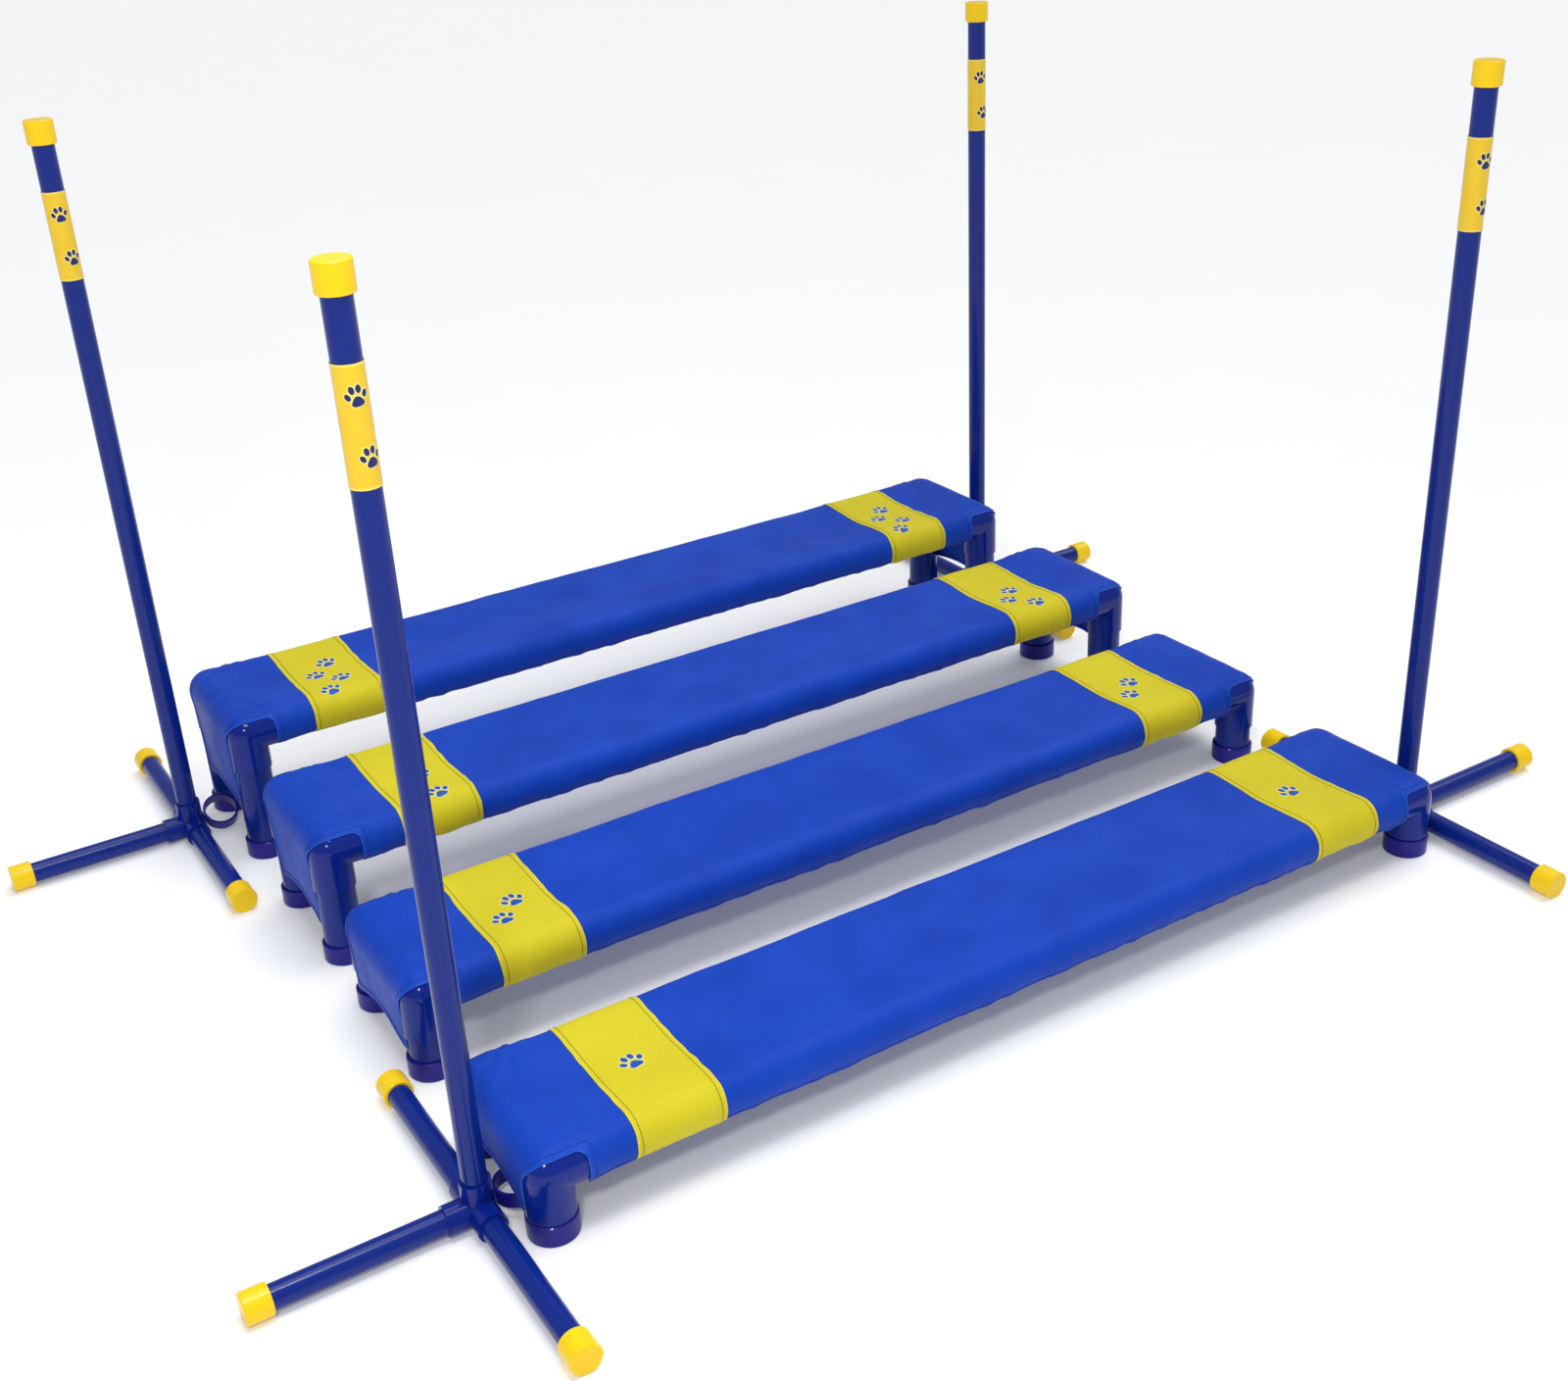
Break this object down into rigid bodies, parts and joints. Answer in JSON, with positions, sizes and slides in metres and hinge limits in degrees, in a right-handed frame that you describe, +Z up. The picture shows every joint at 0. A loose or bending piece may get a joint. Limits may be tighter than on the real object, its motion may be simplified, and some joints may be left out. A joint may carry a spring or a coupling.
{
  "type": "agility broad jump",
  "caption": "Dog agility long jump: low cloth-covered pipe benches of rising height in a row, with free-standing capped marker poles at the corners.",
  "frame": {"origin": "on the floor, at the centre of the outline", "axes": "+X along the benches, +Y from the lowest bench to the highest, +Z up"},
  "size_m": [2.336, 1.807, 1.219],
  "materials": {
    "pipe_navy": "glossy moulded pipe",
    "fitting_navy": "glossy moulded fitting",
    "foot_indigo": "satin moulded cap",
    "cap_yellow": "glossy moulded cap",
    "sleeve_yellow": "printed film sleeve",
    "cover_blue": "coated woven nylon",
    "stripe_yellow": "coated woven nylon",
    "webbing_black": "woven webbing"
  },
  "bodies": {
    "unit_1": {"unit_1_corner_elbows": "fitting_navy", "unit_1_long_rails": "pipe_navy", "unit_1_end_rails": "pipe_navy", "unit_1_legs": "pipe_navy", "unit_1_feet": "foot_indigo", "unit_1_cover": "cover_blue", "unit_1_stripes": "stripe_yellow", "unit_1_straps": "webbing_black"},
    "unit_2": {"unit_2_corner_elbows": "fitting_navy", "unit_2_long_rails": "pipe_navy", "unit_2_end_rails": "pipe_navy", "unit_2_legs": "pipe_navy", "unit_2_feet": "foot_indigo", "unit_2_cover": "cover_blue", "unit_2_stripes": "stripe_yellow", "unit_2_straps": "webbing_black"},
    "unit_3": {"unit_3_corner_elbows": "fitting_navy", "unit_3_long_rails": "pipe_navy", "unit_3_end_rails": "pipe_navy", "unit_3_legs": "pipe_navy", "unit_3_feet": "foot_indigo", "unit_3_cover": "cover_blue", "unit_3_stripes": "stripe_yellow", "unit_3_straps": "webbing_black"},
    "unit_4": {"unit_4_corner_elbows": "fitting_navy", "unit_4_long_rails": "pipe_navy", "unit_4_end_rails": "pipe_navy", "unit_4_legs": "pipe_navy", "unit_4_feet": "foot_indigo", "unit_4_cover": "cover_blue", "unit_4_stripes": "stripe_yellow", "unit_4_straps": "webbing_black"},
    "front_left_base": {"front_left_base_hub": "fitting_navy", "front_left_base_arms": "pipe_navy", "front_left_arm_caps": "cap_yellow"},
    "front_left_upright": {"front_left_upright": "pipe_navy", "front_left_top_cap": "cap_yellow", "front_left_sleeve": "sleeve_yellow"},
    "front_left_ring": {"front_left_swivel_ring": "foot_indigo"},
    "front_right_base": {"front_right_base_hub": "fitting_navy", "front_right_base_arms": "pipe_navy", "front_right_arm_caps": "cap_yellow"},
    "front_right_upright": {"front_right_upright": "pipe_navy", "front_right_top_cap": "cap_yellow", "front_right_sleeve": "sleeve_yellow"},
    "front_right_ring": {"front_right_swivel_ring": "foot_indigo"},
    "rear_left_base": {"rear_left_base_hub": "fitting_navy", "rear_left_base_arms": "pipe_navy", "rear_left_arm_caps": "cap_yellow"},
    "rear_left_upright": {"rear_left_upright": "pipe_navy", "rear_left_top_cap": "cap_yellow", "rear_left_sleeve": "sleeve_yellow"},
    "rear_left_ring": {"rear_left_swivel_ring": "foot_indigo"},
    "rear_right_base": {"rear_right_base_hub": "fitting_navy", "rear_right_base_arms": "pipe_navy", "rear_right_arm_caps": "cap_yellow"},
    "rear_right_upright": {"rear_right_upright": "pipe_navy", "rear_right_top_cap": "cap_yellow", "rear_right_sleeve": "sleeve_yellow"},
    "rear_right_ring": {"rear_right_swivel_ring": "foot_indigo"}
  },
  "joints": [
    {"name": "unit_2_spacing", "type": "slide", "parent": "unit_1", "child": "unit_2", "axis": [0, 1, 0], "range_m": [-0.05, 0.1]},
    {"name": "unit_3_spacing", "type": "slide", "parent": "unit_2", "child": "unit_3", "axis": [0, 1, 0], "range_m": [-0.05, 0.1]},
    {"name": "unit_4_spacing", "type": "slide", "parent": "unit_3", "child": "unit_4", "axis": [0, 1, 0], "range_m": [-0.05, 0.1]},
    {"name": "front_left_pole_place", "type": "slide", "parent": "unit_1", "child": "front_left_base", "axis": [-1, 0, 0], "range_m": [0, 0.15]},
    {"name": "front_left_upright_lift", "type": "slide", "parent": "front_left_base", "child": "front_left_upright", "axis": [0, 0, 1], "range_m": [0, 0.05]},
    {"name": "front_left_ring_swivel", "type": "hinge", "parent": "front_left_base", "child": "front_left_ring", "pos_m": [-0.787, -0.5985, 0.03], "axis": [1, 0, 0], "range_deg": [-40, 40]},
    {"name": "front_right_pole_place", "type": "slide", "parent": "unit_1", "child": "front_right_base", "axis": [1, 0, 0], "range_m": [0, 0.15]},
    {"name": "front_right_upright_lift", "type": "slide", "parent": "front_right_base", "child": "front_right_upright", "axis": [0, 0, 1], "range_m": [0, 0.05]},
    {"name": "front_right_ring_swivel", "type": "hinge", "parent": "front_right_base", "child": "front_right_ring", "pos_m": [0.787, -0.5985, 0.03], "axis": [1, 0, 0], "range_deg": [-40, 40]},
    {"name": "rear_left_pole_place", "type": "slide", "parent": "unit_4", "child": "rear_left_base", "axis": [-1, 0, 0], "range_m": [0, 0.15]},
    {"name": "rear_left_upright_lift", "type": "slide", "parent": "rear_left_base", "child": "rear_left_upright", "axis": [0, 0, 1], "range_m": [0, 0.05]},
    {"name": "rear_left_ring_swivel", "type": "hinge", "parent": "rear_left_base", "child": "rear_left_ring", "pos_m": [-0.81, 0.5985, 0.03], "axis": [1, 0, 0], "range_deg": [-74, 6]},
    {"name": "rear_right_pole_place", "type": "slide", "parent": "unit_4", "child": "rear_right_base", "axis": [1, 0, 0], "range_m": [0, 0.15]},
    {"name": "rear_right_upright_lift", "type": "slide", "parent": "rear_right_base", "child": "rear_right_upright", "axis": [0, 0, 1], "range_m": [0, 0.05]},
    {"name": "rear_right_ring_swivel", "type": "hinge", "parent": "rear_right_base", "child": "rear_right_ring", "pos_m": [0.81, 0.5985, 0.03], "axis": [1, 0, 0], "range_deg": [-40, 40]}
  ]
}
